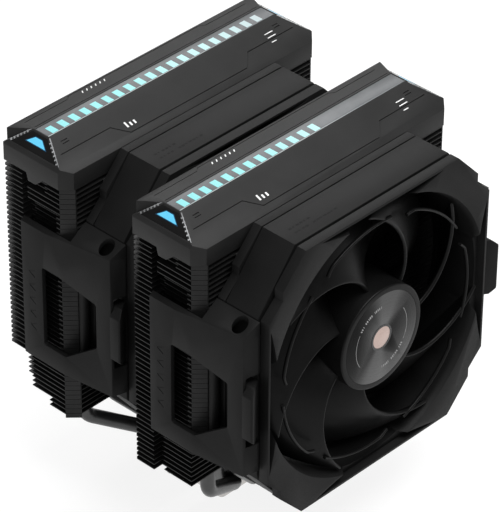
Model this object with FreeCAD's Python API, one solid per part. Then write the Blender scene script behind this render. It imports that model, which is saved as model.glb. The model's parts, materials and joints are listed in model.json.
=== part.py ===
import FreeCAD, Part
import math
import os

# Twin-tower processor cooler. Millimetres, +Z up, -Y towards the front fan.
# The origin is the middle of the cold plate's contact face.

V = FreeCAD.Vector

# ---------------------------------------------------------------- driving dimensions

FAN_SIDE = 120.0            # square side of each fan
FAN_DEPTH = 25.6
FAN_FLOOR = 34.5            # fan's lowest face above the contact face
FAN_CUT_X = 18.7            # corner cut, along the fan's width
FAN_CUT_Z = 23.2            # corner cut, along the fan's height
FAN_STEP = 4.0              # height of the small step in each flange's corner cut
FLANGE_FRONT = 4.2
FLANGE_REAR = 3.7
GROOVE_FRONT = 1.3          # width of the groove behind the front flange
GROOVE_REAR = 0.6
GROOVE_DEPTH = 2.4
SCOOP_DEPTH = 3.4           # arched relief in each side of the front flange
SCOOP_HALF = 33.0
SCOOP_RISE = 4.6
SCOOP_SKIN = 1.0
DUCT_RADIUS = 57.5
DUCT_FLARE = 1.2
TIP_GAP = 1.1               # blade tip to duct
HUB_RADIUS = 22.0
HUB_WALL = 1.5
HUB_PROUD = 1.0             # hub stands this far in front of the fan
HUB_BACK_GAP = 3.2          # hub's back to the struts
STRUT_DEPTH = 3.4
STRUT_WIDTH = 7.0
STRUT_COUNT = 4
BLADE_COUNT = 7
BLADE_THICK = 1.7
BLADE_SWEEP = 45.5          # degrees from root to tip along the leading edge
FENCE_RADIUS = 50.4
FENCE_SPAN = 37.0           # degrees of each curved finger ahead of a blade
DISC_RADIUS = 19.5
BADGE_RADIUS = 4.85
PLATE_THICK = 0.6
SHAFT_RADIUS = 1.5
BEARING_RADIUS = 3.25
BEARING_TUBE_RADIUS = 4.5
RUNNING_GAP = 0.03
FIT_GAP = 0.02

TOWER_DEPTH = 34.4
TOWER_GAP = 34.1            # clear distance between the two towers
FAN_GAP = 1.7               # fan's back to tower's front
COVER_OVERHANG = 8.3        # top cover beyond the fan's side
CORNER_CUT = 4.2            # front corners of fins and covers
REAR_CUT = 0.8              # rear corners
FIN_INSET = 0.5             # fin edge inside the cover's face
FIN_THICK = 0.4
FIN_PITCH = 2.225
FIN_FLOOR = 39.0            # lowest fin above the contact face
LOW_FINS = 9                # lowest fins have a smaller outline
TAB_THICK = 0.4
TAB_GAP = 0.15              # tab's lower edge to the next fin
SLOT_START = 21.5           # clip slot, from the tower's front face
SLOT_WIDTH = 2.8
SLOT_DEPTH = 4.4
CLIP_RECESS = 3.6

COVER_DROP = 8.7            # cover's lower edge below the fan's top
SKIRT_HEIGHT = 7.4
ROOF_RISE = 6.8
DECK_DROP = 1.6             # fall of the nearly flat rear roof
DECK_INSET = 2.8            # its rear corners inside the cover's end faces
COVER_WALL = 1.6
RIDGE_START = 16.7          # flat ridge, from the cover's front face
RIDGE_WIDTH = 8.3
RIDGE_INSET = 7.5           # end of the ridge inside the cover's end face
HIP_RUN = 6.8
HIP_DROP = 5.1
LIGHT_DEPTH = 3.0
LIGHT_WIDTH = 7.2
PANEL_THICK = 0.9
LENS_HIGH = 0.24            # lens's ends, as shares of the hip's slope
LENS_LOW = 0.62
SNAP_DROP = 3.4
SNAP_THICK = 1.2

PIPE_RADIUS = 3.0
PIPE_COUNT = 7
PIPE_SPREAD = 15.4          # spacing in the towers
PIPE_WEB = 0.3              # metal between pipes in the base
PIPE_STAND = 2.0            # pipe ends above the top fin
PIPE_BEND = 8.0
PIPE_STAGGER = 4.25         # each inner pipe turns this much sooner in plan
PIPE_KNEE = 17.0            # outer pipe's knee above the cold plate
PLATE_HEIGHT = 5.0
BASE_DEPTH = 46.0
BASE_SIDE = 5.0             # base metal outside the outer pipes
BASE_HEIGHT = 11.0

BAR_END = 7.5               # bar beyond the screw's axis
BAR_WIDTH = 14.0
BAR_THICK = 2.5
SCREW_SPACING = 64.0
BAR_SCREW_INSET = 8.0       # bar's own screws inside the base's sides
SCREW_TIP_RADIUS = 1.5
SCREW_TIP_LENGTH = 9.0
SCREW_RADIUS = 2.0
SCREW_HEAD_RADIUS = 4.4
SCREW_HEAD_HEIGHT = 4.0
SPRING_LENGTH = 10.0
SPRING_WIRE = 0.45
SPRING_TURNS = 5
RING_THICK = 0.8
RING_RADIUS = 3.6

BRACKET_WALL = 1.9
BRACKET_OUT = 10.0          # bracket's outer face beyond the fan's side
BRACKET_NOSE = 7.0          # bracket's front edge beyond the fan's side
BRACKET_BOTTOM = 32.0       # below the fan axis
BRACKET_LEAN = 19.6         # height where the upper side starts to lean in
NOSE_LEAN = 31.5            # the same at the front edge
BRACKET_BEND = 2.0          # bend line behind the tower's front face
LIP_THICK = 1.2
LIP_GAP = 0.8               # lip to the back of its slot
TONGUE_REACH = 1.6          # hinge tongue inside the frame's groove
TONGUE_THICK = 0.55
TAB_SEAT = 5.8              # outer end of the finger tab's recess
TAB_TOP = 10.0
TAB_BOTTOM = 15.5
WINDOW_TOP = 13.0
WINDOW_BOTTOM = 23.2
WINDOW_NOSE_TOP = 8.0
WINDOW_NOSE_BOTTOM = 12.3
WINDOW_FRONT = 13.1
PAD_SIDE = 7.0
TOP_SLOPE = 0.67
POST_RADIUS = 2.0
CLIP_HOLE_RADIUS = 3.1
CLIP_HOLE_X = 3.8           # hole's axis beyond the fan's side
CLIP_HOLE_Y = 10.8
CLEAR = 0.3                 # between a clip and what it swings past

# ---------------------------------------------------------------- worked-out places

AXIS_Z = FAN_FLOOR + FAN_SIDE / 2
COVER_HALF = FAN_SIDE / 2 + COVER_OVERHANG
RIDGE_HALF = COVER_HALF - RIDGE_INSET
RIDGE_END = RIDGE_START + RIDGE_WIDTH
DECK_HALF = COVER_HALF - DECK_INSET
FIN_HALF = COVER_HALF - FIN_INSET
COVER_LOW = FAN_FLOOR + FAN_SIDE - COVER_DROP
RIM_Z = COVER_LOW + SKIRT_HEIGHT
RIDGE_Z = RIM_Z + ROOF_RISE
FIN_COUNT = round((COVER_LOW - FIN_FLOOR) / FIN_PITCH)
FRONT_TOWER_Y = -TOWER_GAP / 2 - TOWER_DEPTH
REAR_TOWER_Y = TOWER_GAP / 2
FRONT_FAN_Y = FRONT_TOWER_Y - FAN_GAP - FAN_DEPTH
MIDDLE_FAN_Y = REAR_TOWER_Y - FAN_GAP - FAN_DEPTH
PIPE_BASE_PITCH = 2 * PIPE_RADIUS + PIPE_WEB
PIPE_SIDE = (PIPE_COUNT - 1) // 2
PIPE_LIFT = PIPE_RADIUS     # each inner pipe's knee is this much higher
BASE_WIDTH = 2 * (PIPE_SIDE * PIPE_BASE_PITCH + PIPE_RADIUS + BASE_SIDE)
PIPE_Y = (TOWER_GAP + TOWER_DEPTH) / 2
TIP_RADIUS = DUCT_RADIUS - TIP_GAP
STRUT_Y = FAN_DEPTH - STRUT_DEPTH
HUB_DEPTH = STRUT_Y - HUB_BACK_GAP + HUB_PROUD
BAR_Z = PLATE_HEIGHT + BASE_HEIGHT
BAR_SCREW_X = BASE_WIDTH / 2 - BAR_SCREW_INSET
SIDE = FAN_SIDE / 2
BRACKET_ROOF = SIDE - FAN_CUT_Z - 0.6
TOWER_FACE = FAN_DEPTH + FAN_GAP
BEND_Y = TOWER_FACE + BRACKET_BEND
BACK_Y = TOWER_FACE + SLOT_START + SLOT_WIDTH - LIP_GAP


# ---------------------------------------------------------------- helpers

def prism(points, z0, z1):
    """Upright solid over a closed outline of (x, y) points."""
    ring = [V(x, y, z0) for x, y in points]
    face = Part.Face(Part.makePolygon(ring + ring[:1]))
    return face.extrude(V(0, 0, z1 - z0))


def deep_prism(points, y0, y1):
    """Solid along Y over a closed outline of (x, z) points."""
    ring = [V(x, y0, z) for x, z in points]
    face = Part.Face(Part.makePolygon(ring + ring[:1]))
    return face.extrude(V(0, y1 - y0, 0))


def box(x0, x1, y0, y1, z0, z1):
    return Part.makeBox(x1 - x0, y1 - y0, z1 - z0, V(x0, y0, z0))


def rod(radius, start, axis, length):
    return Part.makeCylinder(radius, length, start, axis)


def rod_y(radius, y0, y1, x=0.0, z=0.0):
    return rod(radius, V(x, y0, z), V(0, 1, 0), y1 - y0)


def rod_z(radius, z0, z1, x=0.0, y=0.0):
    return rod(radius, V(x, y, z0), V(0, 0, 1), z1 - z0)


def clip(shape, point, outward):
    """Cuts away what lies beyond the plane through point."""
    reach = 400.0
    tool = Part.makeBox(2 * reach, 2 * reach, reach, V(-reach, -reach, 0))
    turn = FreeCAD.Rotation(V(0, 0, 1), outward)
    tool.Placement = FreeCAD.Placement(point, turn)
    return shape.cut(tool)


def fuse_all(shapes):
    whole = shapes[0]
    if len(shapes) > 1:
        whole = whole.fuse(shapes[1:])
    return whole.removeSplitter()


def mirror_x(shape):
    return shape.mirror(V(0, 0, 0), V(1, 0, 0))


def moved(shape, x=0.0, y=0.0, z=0.0):
    copy = shape.copy()
    copy.translate(V(x, y, z))
    return copy


def both_sides(points):
    """Right half outline, from front to back, closed by its mirror image."""
    return points + [(-x, y) for x, y in reversed(points)]


def save(name, shape):
    if not shape.isValid():
        print("not valid:", name)
    shape.exportStep("parts/" + name + ".step")
    print(name, len(shape.Solids), round(shape.Volume, 1))


# ---------------------------------------------------------------- fans
# A fan is drawn with its front face at y = 0 and its axis at z = 0.

def fan_outline(stepped, inset=0.0):
    half = FAN_SIDE / 2 - inset
    cut_x = FAN_CUT_X
    cut_z = FAN_CUT_Z
    corner = [(half, half - cut_z)]
    if stepped:
        share = 0.62
        x = half - cut_x * (1 - share)
        z = half - cut_z * share
        corner += [(x, z - FAN_STEP / 2), (x, z + FAN_STEP / 2)]
    corner += [(half - cut_x, half)]
    right = [(x, -z) for x, z in reversed(corner)] + corner
    return right + [(-x, z) for x, z in reversed(right)]


def scoop():
    """Arched relief in the lower side of the front flange."""
    edge = SCOOP_SKIN - FAN_SIDE / 2
    ends = [V(-SCOOP_HALF, -1, edge), V(SCOOP_HALF, -1, edge)]
    arch = Part.Arc(ends[0], V(0, -1, edge + SCOOP_RISE), ends[1]).toShape()
    floor = Part.makeLine(ends[1], ends[0])
    face = Part.Face(Part.Wire([arch, floor]))
    return face.extrude(V(0, SCOOP_DEPTH + 1, 0))


def fan_frame():
    back = FAN_DEPTH
    groove_end = FLANGE_FRONT + GROOVE_FRONT
    rear_start = back - FLANGE_REAR
    body = [
        deep_prism(fan_outline(True), 0, FLANGE_FRONT),
        deep_prism(fan_outline(False, GROOVE_DEPTH), FLANGE_FRONT, rear_start),
        deep_prism(fan_outline(False), groove_end, rear_start - GROOVE_REAR),
        deep_prism(fan_outline(True), rear_start, back),
    ]
    frame = fuse_all(body)
    frame = frame.cut(rod_y(DUCT_RADIUS, -1, back + 1))
    wide = DUCT_RADIUS + DUCT_FLARE
    axis = V(0, 1, 0)
    mouth = Part.makeCone(wide, DUCT_RADIUS, 3, V(0, 0, 0), axis)
    outlet = Part.makeCone(DUCT_RADIUS, wide, 3, V(0, back - 3, 0), axis)
    reliefs = []
    for k in range(4):
        relief = scoop()
        relief.rotate(V(0, 0, 0), axis, 90.0 * k)
        reliefs.append(relief)
    frame = frame.cut([mouth, outlet] + reliefs)
    cup = rod_y(HUB_RADIUS - 1, STRUT_Y, back)
    tube = rod_y(BEARING_TUBE_RADIUS, 6.0, STRUT_Y)
    struts = []
    for k in range(STRUT_COUNT):
        arm = box(-STRUT_WIDTH / 2, STRUT_WIDTH / 2, STRUT_Y, back, 10, DUCT_RADIUS + 0.8)
        arm.rotate(V(0, 0, 0), axis, 360.0 * (k + 0.5) / STRUT_COUNT)
        struts.append(arm)
    frame = fuse_all([frame, cup, tube] + struts)
    return frame.cut(rod_y(BEARING_RADIUS + FIT_GAP, 5, back - 1.2))


def leading_angle(radius):
    share = (radius - HUB_RADIUS) / (TIP_RADIUS - HUB_RADIUS)
    return BLADE_SWEEP * math.copysign(abs(share) ** 1.25, share)


def chord_angle(radius):
    share = (radius - HUB_RADIUS) / (TIP_RADIUS - HUB_RADIUS)
    return 28.0 + 24.0 * math.sin(math.pi / 2 * min(1.0, max(0.0, share) * 1.6))


def blade_point(radius, along, lift):
    """Point on the blade: along runs 0 to 1 from leading to trailing edge."""
    share = (radius - HUB_RADIUS) / (TIP_RADIUS - HUB_RADIUS)
    angle = math.radians(leading_angle(radius) - along * chord_angle(radius))
    front = 2.2 - 1.2 * share
    back = HUB_DEPTH - HUB_PROUD - 2.5 + 3.0 * share
    depth = front + (back - front) * along ** 0.9 + lift
    return V(radius * math.cos(angle), depth, radius * math.sin(angle))


def blade():
    radii = [HUB_RADIUS - 0.8 + k * (TIP_RADIUS - HUB_RADIUS + 0.8) / 7 for k in range(8)]
    alongs = [k / 8.0 for k in range(9)]
    skins = []
    for side in (-1, 1):
        grid = []
        for radius in radii:
            row = []
            for along in alongs:
                half = 0.5 * BLADE_THICK * (1.0 - 0.5 * along)
                row.append(blade_point(radius, along, 0.4 + half + side * half))
            grid.append(row)
        surface = Part.BSplineSurface()
        surface.interpolate(grid)
        skins.append(surface)
    u0, u1, v0, v1 = skins[0].bounds()
    walls = []
    for pick in (("u", u0), ("u", u1), ("v", v0), ("v", v1)):
        curves = []
        for skin in skins:
            iso = skin.uIso(pick[1]) if pick[0] == "u" else skin.vIso(pick[1])
            curves.append(iso.toShape())
        walls.append(Part.makeRuledSurface(curves[0], curves[1]))
    faces = [skins[0].toShape(), skins[1].toShape()] + walls
    shell = Part.makeShell(faces)
    shell.sewShape()
    solid = Part.makeSolid(Part.Shell(shell.Faces))
    if solid.Volume < 0:
        solid.reverse()
    return solid


def fence():
    """Thin curved finger ahead of the leading edge, near the blade's tip."""
    start = leading_angle(FENCE_RADIUS) - 6.0
    inner = FENCE_RADIUS
    outer = FENCE_RADIUS + 1.2
    ring = rod_y(outer, 0.9, 2.9).cut(rod_y(inner, 0, 4))
    reach = 2 * FAN_SIDE
    a0 = math.radians(start)
    a1 = math.radians(start + FENCE_SPAN + 6.0)
    mid = (a0 + a1) / 2
    wedge = [(0, 0)]
    for angle in (a0, mid, a1):
        wedge.append((reach * math.cos(angle), reach * math.sin(angle)))
    return ring.common(deep_prism(wedge, -1, 5))


def rotor():
    front = -HUB_PROUD
    back = front + HUB_DEPTH
    hub = rod_y(HUB_RADIUS, front, back)
    rim = [e for e in hub.Edges if abs(e.BoundBox.YMax - front) < 0.01]
    hub = hub.makeChamfer(0.7, rim)
    hub = hub.cut(rod_y(HUB_RADIUS - HUB_WALL, front + 2.2, back + 1))
    boss = rod_y(SHAFT_RADIUS + 1.6, front + 1.5, front + 6)
    pieces = [hub, boss]
    single = blade()
    finger = fence()
    for k in range(BLADE_COUNT):
        for shape in (single, finger):
            copy = shape.copy()
            copy.rotate(V(0, 0, 0), V(0, 1, 0), 360.0 * k / BLADE_COUNT)
            pieces.append(copy)
    whole = fuse_all(pieces)
    whole = whole.cut(rod_y(HUB_RADIUS - HUB_WALL, front + 6, back + 1))
    whole = whole.cut(rod_y(DISC_RADIUS + FIT_GAP, front - 1, front + PLATE_THICK))
    return whole.cut(rod_y(SHAFT_RADIUS, front + 1.2, back))


def hub_disc():
    front = -HUB_PROUD
    plate = rod_y(DISC_RADIUS, front, front + PLATE_THICK)
    return plate.cut(rod_y(BADGE_RADIUS + FIT_GAP, front - 1, front + 2))


def hub_badge():
    return rod_y(BADGE_RADIUS, -HUB_PROUD, -HUB_PROUD + PLATE_THICK)


def motor_shaft():
    return rod_y(SHAFT_RADIUS, 1.2 - HUB_PROUD, FAN_DEPTH - 2.0)


def motor_bearing():
    sleeve = rod_y(BEARING_RADIUS, 6.6, FAN_DEPTH - 3.4)
    return sleeve.cut(rod_y(SHAFT_RADIUS + RUNNING_GAP, 5, FAN_DEPTH))


def motor_magnet():
    outer = HUB_RADIUS - HUB_WALL - FIT_GAP
    return rod_y(outer, 6.5, STRUT_Y - 4.7).cut(rod_y(outer - 2.4, 5, STRUT_Y))


def motor_stator():
    """Four-pole core with its windings, round the bearing tube."""
    inner = BEARING_TUBE_RADIUS + FIT_GAP
    outer = HUB_RADIUS - HUB_WALL - 3.4
    pieces = [rod_y(inner + 2.4, 7.5, STRUT_Y - 5.2)]
    core_back = STRUT_Y - 6.7
    ring = rod_y(outer, 9.0, core_back).cut(rod_y(outer - 1.4, 8, STRUT_Y))
    for k in range(4):
        arm = box(-1.4, 1.4, 9.0, core_back, 0, outer - 0.5)
        coil = box(-3.4, 3.4, 8.2, core_back + 0.8, inner + 1.5, outer - 2.2)
        shoe = ring.common(box(-7.5, 7.5, 8, STRUT_Y, 0, outer + 1))
        for shape in (arm, coil, shoe):
            copy = shape.copy()
            copy.rotate(V(0, 0, 0), V(0, 1, 0), 90.0 * k)
            pieces.append(copy)
    core = fuse_all(pieces)
    return core.cut(rod_y(inner, 5, FAN_DEPTH))


def motor_board():
    board = rod_y(HUB_RADIUS - HUB_WALL - 3.0, STRUT_Y - 1.2, STRUT_Y)
    chip = box(8, 12.5, STRUT_Y - 2.4, STRUT_Y - 1.2, -2, 2)
    board = fuse_all([board, chip])
    return board.cut(rod_y(BEARING_TUBE_RADIUS + FIT_GAP, 5, FAN_DEPTH))


# ---------------------------------------------------------------- fin towers
# A fin is drawn in plan with y = 0 at the tower's front face.

def fin_outline(recess, front=0.0, front_half=None, back=None, wing_half=None):
    half = FIN_HALF
    depth = TOWER_DEPTH
    slot_end = SLOT_START + SLOT_WIDTH
    inner = half - SLOT_DEPTH
    if front_half is None:
        right = [(half - CORNER_CUT, front), (half, front + CORNER_CUT)]
        edge = half
    else:
        right = [(front_half, front)]
        edge = front_half
    if recess:
        right += [(half, CORNER_CUT + 2.0), (half - CLIP_RECESS, CORNER_CUT + 2.0)]
        right += [(half - CLIP_RECESS, SLOT_START)]
    else:
        right += [(edge, SLOT_START)]
    if back is None:
        right += [(inner, SLOT_START), (inner, slot_end), (half, slot_end)]
        right += [(half, depth - REAR_CUT), (half - REAR_CUT, depth)]
    else:
        right += [(edge, back), (wing_half, back), (wing_half, depth)]
        right = [p for i, p in enumerate(right) if i == 0 or p != right[i - 1]]
    return both_sides(right)


def corner_tabs():
    """Folded tabs that close the chamfered front corners down to the next fin."""
    half = FIN_HALF
    cut = CORNER_CUT
    skew = TAB_THICK * math.sqrt(2)
    quad = [(half - cut, 0), (half, cut), (half - skew, cut), (half - cut - skew, 0)]
    tab = prism(quad, FIN_THICK + TAB_GAP - FIN_PITCH, FIN_THICK / 2)
    return [tab, mirror_x(tab)]


def pipe_holes(z0, z1):
    holes = []
    for k in range(-PIPE_SIDE, PIPE_SIDE + 1):
        x = k * PIPE_SPREAD
        holes.append(rod_z(PIPE_RADIUS + FIT_GAP, z0, z1, x, TOWER_DEPTH / 2))
    return holes


def fin(outline, tabs, snap):
    plate = prism(outline, 0, FIN_THICK)
    if tabs:
        plate = fuse_all([plate] + tabs)
    plate = plate.cut(pipe_holes(-1, 1))
    if snap:
        reach = FIN_HALF + 5
        notch = box(FIN_HALF - 1.5, reach, 12.0, SLOT_START + 1, -5, 5)
        plate = plate.cut([notch, mirror_x(notch)])
    return plate


def fin_stack(tower_y, is_front):
    """All fins of one tower, from the top one down."""
    clip_top = AXIS_Z + FAN_SIDE / 2 - FAN_CUT_Z + 1.5
    low_z = COVER_LOW - (FIN_COUNT - LOW_FINS) * FIN_PITCH
    snap_z = COVER_LOW - SNAP_DROP - FIN_PITCH
    kinds = {
        "snap": fin(fin_outline(False), corner_tabs(), True),
        "plain": fin(fin_outline(False), corner_tabs(), False),
        "clip": fin(fin_outline(True), corner_tabs(), False),
    }
    if is_front:
        low = fin_outline(False, front=7.0, front_half=FIN_HALF - 2.6)
        kinds["low"] = fin(low, [], False)
        kinds["lowest"] = kinds["low"]
    else:
        wing = FIN_HALF - 9.0
        low = fin_outline(False, back=SLOT_START + 1, wing_half=wing)
        kinds["low"] = fin(low, corner_tabs(), False)
        lowest = fin_outline(False, back=SLOT_START, wing_half=wing)
        step = box(wing, FIN_HALF + 1, 13.0, TOWER_DEPTH, -5, 5)
        short = fin(lowest, corner_tabs(), False)
        kinds["lowest"] = short.cut([step, mirror_x(step)])
    fins = []
    for k in range(FIN_COUNT):
        z = COVER_LOW - FIN_THICK - k * FIN_PITCH
        if k >= FIN_COUNT - 2:
            kind = "lowest"
        elif z < low_z:
            kind = "low"
        elif z > snap_z:
            kind = "snap"
        elif z > clip_top:
            kind = "plain"
        else:
            kind = "clip"
        fins.append(moved(kinds[kind], 0, tower_y, z))
    return Part.makeCompound(fins)


# ---------------------------------------------------------------- top covers
# A cover is drawn with y = 0 at its front face and z as in the whole part.

def cover_form(inset):
    """The cover's outer form, or its hollow when inset is the wall."""
    half = COVER_HALF - inset
    cut = CORNER_CUT - inset * (2 - math.sqrt(2))
    rear = max(REAR_CUT - inset * (2 - math.sqrt(2)), 0.1)
    y0 = inset
    y1 = TOWER_DEPTH - inset
    right = [(half - cut, y0), (half, y0 + cut), (half, y1 - rear), (half - rear, y1)]
    top = RIDGE_Z - inset
    low = COVER_LOW if inset == 0 else COVER_LOW - 1
    form = prism(both_sides(right), low, top)
    planes = [
        (V(0, RIDGE_START, RIDGE_Z), V(0, -ROOF_RISE, RIDGE_START)),
        (V(0, RIDGE_END, RIDGE_Z), V(0, ROOF_RISE, TOWER_DEPTH - RIDGE_END)),
    ]
    for side in (-1, 1):
        planes.append((V(side * RIDGE_HALF, 0, RIDGE_Z), V(side * HIP_DROP, 0, HIP_RUN)))
        knee = V(side * (RIDGE_HALF + HIP_RUN), 0, RIDGE_Z - HIP_DROP)
        rise = ROOF_RISE - HIP_DROP
        run = COVER_HALF - RIDGE_HALF - HIP_RUN
        planes.append((knee, V(side * rise, 0, run)))
    for point, normal in planes:
        normal.normalize()
        form = clip(form, point - normal * inset, normal)
    return form.fuse(rear_deck(inset)).removeSplitter()


def rear_deck(inset):
    """The nearly flat roof behind the ridge, raised above the rear hips."""
    half = RIDGE_HALF - inset
    right = [(half, RIDGE_START + 1), (half, RIDGE_END)]
    right.append((DECK_HALF - inset, TOWER_DEPTH - inset))
    low = COVER_LOW if inset == 0 else COVER_LOW - 1
    deck = prism(both_sides(right), low, RIDGE_Z - inset)
    normal = V(0, DECK_DROP, TOWER_DEPTH - RIDGE_END)
    normal.normalize()
    return clip(deck, V(0, RIDGE_END, RIDGE_Z) - normal * inset, normal)


def light_slot(gap, depth):
    y0 = RIDGE_START + 0.3
    y1 = y0 + LIGHT_WIDTH
    half = RIDGE_HALF - 0.4
    z0 = RIDGE_Z - depth
    return box(-half - gap, half + gap, y0 - gap, y1 + gap, z0, RIDGE_Z)


def hip_panel(gap, depth):
    """Trapezoid plate let into the right hip."""
    slope = V(HIP_RUN, 0, -HIP_DROP)
    long = slope.Length
    slope.normalize()
    normal = V(HIP_DROP, 0, HIP_RUN)
    normal.normalize()
    grow = HIP_DROP / ROOF_RISE
    front_run = RIDGE_START * grow
    back_run = (TOWER_DEPTH - RIDGE_END) * grow
    start = 0.10
    stop = 0.93
    edge = 1.3 - 2 * gap
    corners = []
    for share, side in ((start, 0), (start, 1), (stop, 1), (stop, 0)):
        down = share * long + (gap if share == stop else -gap)
        if side == 0:
            y = RIDGE_START - front_run * down / long + edge
        else:
            y = RIDGE_END + back_run * down / long - edge
        corners.append(V(RIDGE_HALF, y, RIDGE_Z) + slope * down)
    face = Part.Face(Part.makePolygon(corners + corners[:1]))
    return face.extrude(normal * -depth)


def hip_lens(gap, depth):
    """Narrow-topped lit window inside the hip panel."""
    slope = V(HIP_RUN, 0, -HIP_DROP)
    long = slope.Length
    slope.normalize()
    normal = V(HIP_DROP, 0, HIP_RUN)
    normal.normalize()
    corners = []
    high = LENS_HIGH * long - gap
    low = LENS_LOW * long + gap
    for down, y in ((high, 1.4 - gap), (high, 5.1 + gap), (low, 8.5 + gap), (low, -3.1 - gap)):
        corners.append(V(RIDGE_HALF, RIDGE_START + y, RIDGE_Z) + slope * down)
    face = Part.Face(Part.makePolygon(corners + corners[:1]))
    return face.extrude(normal * -depth)


def snap_tab():
    """Tongue below the skirt that grips the top fins."""
    outer = COVER_HALF
    low = COVER_LOW - SNAP_DROP
    top = COVER_LOW + 1
    profile = [(12.6, top), (12.6, COVER_LOW), (16.5, low)]
    profile += [(20.5, low), (21.4, COVER_LOW), (21.4, top)]
    ring = [V(outer - SNAP_THICK, y, z) for y, z in profile]
    face = Part.Face(Part.makePolygon(ring + ring[:1]))
    return face.extrude(V(SNAP_THICK, 0, 0))


def top_cover():
    tab = snap_tab()
    cover = fuse_all([cover_form(0), tab, mirror_x(tab)])
    cover = cover.cut(cover_form(COVER_WALL))
    panel = hip_panel(0.05, PANEL_THICK)
    window = hip_lens(0.6, 6.0)
    tools = [light_slot(0.05, 12.0), panel, mirror_x(panel), window, mirror_x(window)]
    return cover.cut(tools)


def light_diffuser():
    return light_slot(0, LIGHT_DEPTH)


def light_board():
    y_mid = RIDGE_START + 0.3 + LIGHT_WIDTH / 2
    top = RIDGE_Z - LIGHT_DEPTH - 0.8
    half = RIDGE_HALF - 2.0
    board = box(-half, half, y_mid - 2.6, y_mid + 2.6, top - 1.0, top)
    chips = []
    count = 20
    step = 2 * (half - 2.5) / (count - 1)
    for k in range(count):
        x = -half + 2.5 + k * step
        chips.append(box(x - 1, x + 1, y_mid - 1, y_mid + 1, top, top + 0.8))
    return fuse_all([board] + chips)


def end_panels():
    panel = hip_panel(0, PANEL_THICK - 0.05).cut(hip_lens(0.03, 3.0))
    return Part.makeCompound([panel, mirror_x(panel)])


def end_lenses():
    lens = hip_lens(0, PANEL_THICK + 0.6)
    return Part.makeCompound([lens, mirror_x(lens)])


# ---------------------------------------------------------------- pipes and base

def bent_path(points, radius):
    """Straight runs joined by tangent arcs."""
    edges = []
    last = points[0]
    for a, b, c in zip(points, points[1:], points[2:]):
        into = (b - a).normalize()
        away = (c - b).normalize()
        turn = into.getAngle(away)
        back = radius * math.tan(turn / 2)
        start = b - into * back
        stop = b + away * back
        toward = (away - into).normalize()
        centre = b + toward * (radius / math.cos(turn / 2))
        middle = centre - toward * radius
        edges.append(Part.LineSegment(last, start).toShape())
        edges.append(Part.Arc(start, middle, stop).toShape())
        last = stop
    edges.append(Part.LineSegment(last, points[-1]).toShape())
    return Part.Wire(edges)


def heat_pipe(k):
    """U-shaped pipe number k, counted from the middle one."""
    base_x = k * PIPE_BASE_PITCH
    tower_x = k * PIPE_SPREAD
    top = COVER_LOW + PIPE_STAND
    low = PLATE_HEIGHT
    inward = PIPE_SIDE - abs(k)
    bend_z = low + PIPE_KNEE + PIPE_LIFT * inward
    entry = BASE_DEPTH / 2 + 1.0 + PIPE_STAGGER * inward
    front = [V(tower_x, -PIPE_Y, top), V(tower_x, -PIPE_Y, bend_z), V(base_x, -entry, low)]
    if k == 0:
        front = [V(0, -PIPE_Y, top), V(0, -PIPE_Y, low)]
    rear = [V(p.x, -p.y, p.z) for p in reversed(front)]
    path = bent_path(front + rear, PIPE_BEND)
    ring = Part.makeCircle(PIPE_RADIUS, front[0], V(0, 0, 1))
    pipe = path.makePipeShell([Part.Wire([ring])], True, False)
    caps = []
    for y in (-PIPE_Y, PIPE_Y):
        caps.append(Part.makeSphere(PIPE_RADIUS, V(tower_x, y, top)))
    return fuse_all([pipe] + caps)


def cold_plate(pipes):
    half = BASE_WIDTH / 2
    plate = box(-half, half, -BASE_DEPTH / 2, BASE_DEPTH / 2, 0, PLATE_HEIGHT)
    edges = [e for e in plate.Edges if abs(e.BoundBox.ZLength - PLATE_HEIGHT) < 0.01]
    plate = plate.makeFillet(2.0, edges)
    rims = [e for e in plate.Edges if e.BoundBox.ZMax < 0.01]
    plate = plate.makeChamfer(0.5, rims)
    return plate.cut(pipes)


def base_block(pipes):
    half = BASE_WIDTH / 2
    y = BASE_DEPTH / 2
    block = box(-half, half, -y, y, PLATE_HEIGHT, BAR_Z)
    edges = [e for e in block.Edges if abs(e.BoundBox.ZLength - BASE_HEIGHT) < 0.01]
    block = block.makeFillet(2.0, edges)
    rims = [e for e in block.Edges if e.BoundBox.ZMin > BAR_Z - 0.01]
    block = block.makeChamfer(1.0, rims)
    holes = [rod_z(1.3, BAR_Z - 5, BAR_Z + 1, x) for x in (-BAR_SCREW_X, BAR_SCREW_X)]
    return block.cut(pipes + holes)


def mounting_bar():
    half = SCREW_SPACING / 2 + BAR_END
    bar = box(-half, half, -BAR_WIDTH / 2, BAR_WIDTH / 2, BAR_Z, BAR_Z + BAR_THICK)
    corners = [e for e in bar.Edges if abs(e.BoundBox.ZLength - BAR_THICK) < 0.01]
    bar = bar.makeFillet(BAR_WIDTH / 2 - 0.5, corners)
    x = SCREW_SPACING / 2
    tools = [rod_z(SCREW_RADIUS + 0.08, 0, 40, side * x) for side in (-1, 1)]
    tools += [rod_z(1.5, 0, 40, side * BAR_SCREW_X) for side in (-1, 1)]
    return bar.cut(tools)


def bar_screws():
    screws = []
    for side in (-1, 1):
        x = side * BAR_SCREW_X
        top = BAR_Z + BAR_THICK
        shank = rod_z(1.25, BAR_Z - 4.5, top, x)
        head = rod_z(2.5, top, top + 1.6, x)
        cross = [box(x - 1.5, x + 1.5, -0.3, 0.3, top + 0.7, top + 3)]
        cross.append(box(x - 0.3, x + 0.3, -1.5, 1.5, top + 0.7, top + 3))
        screws.append(fuse_all([shank, head]).cut(cross))
    return Part.makeCompound(screws)


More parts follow.
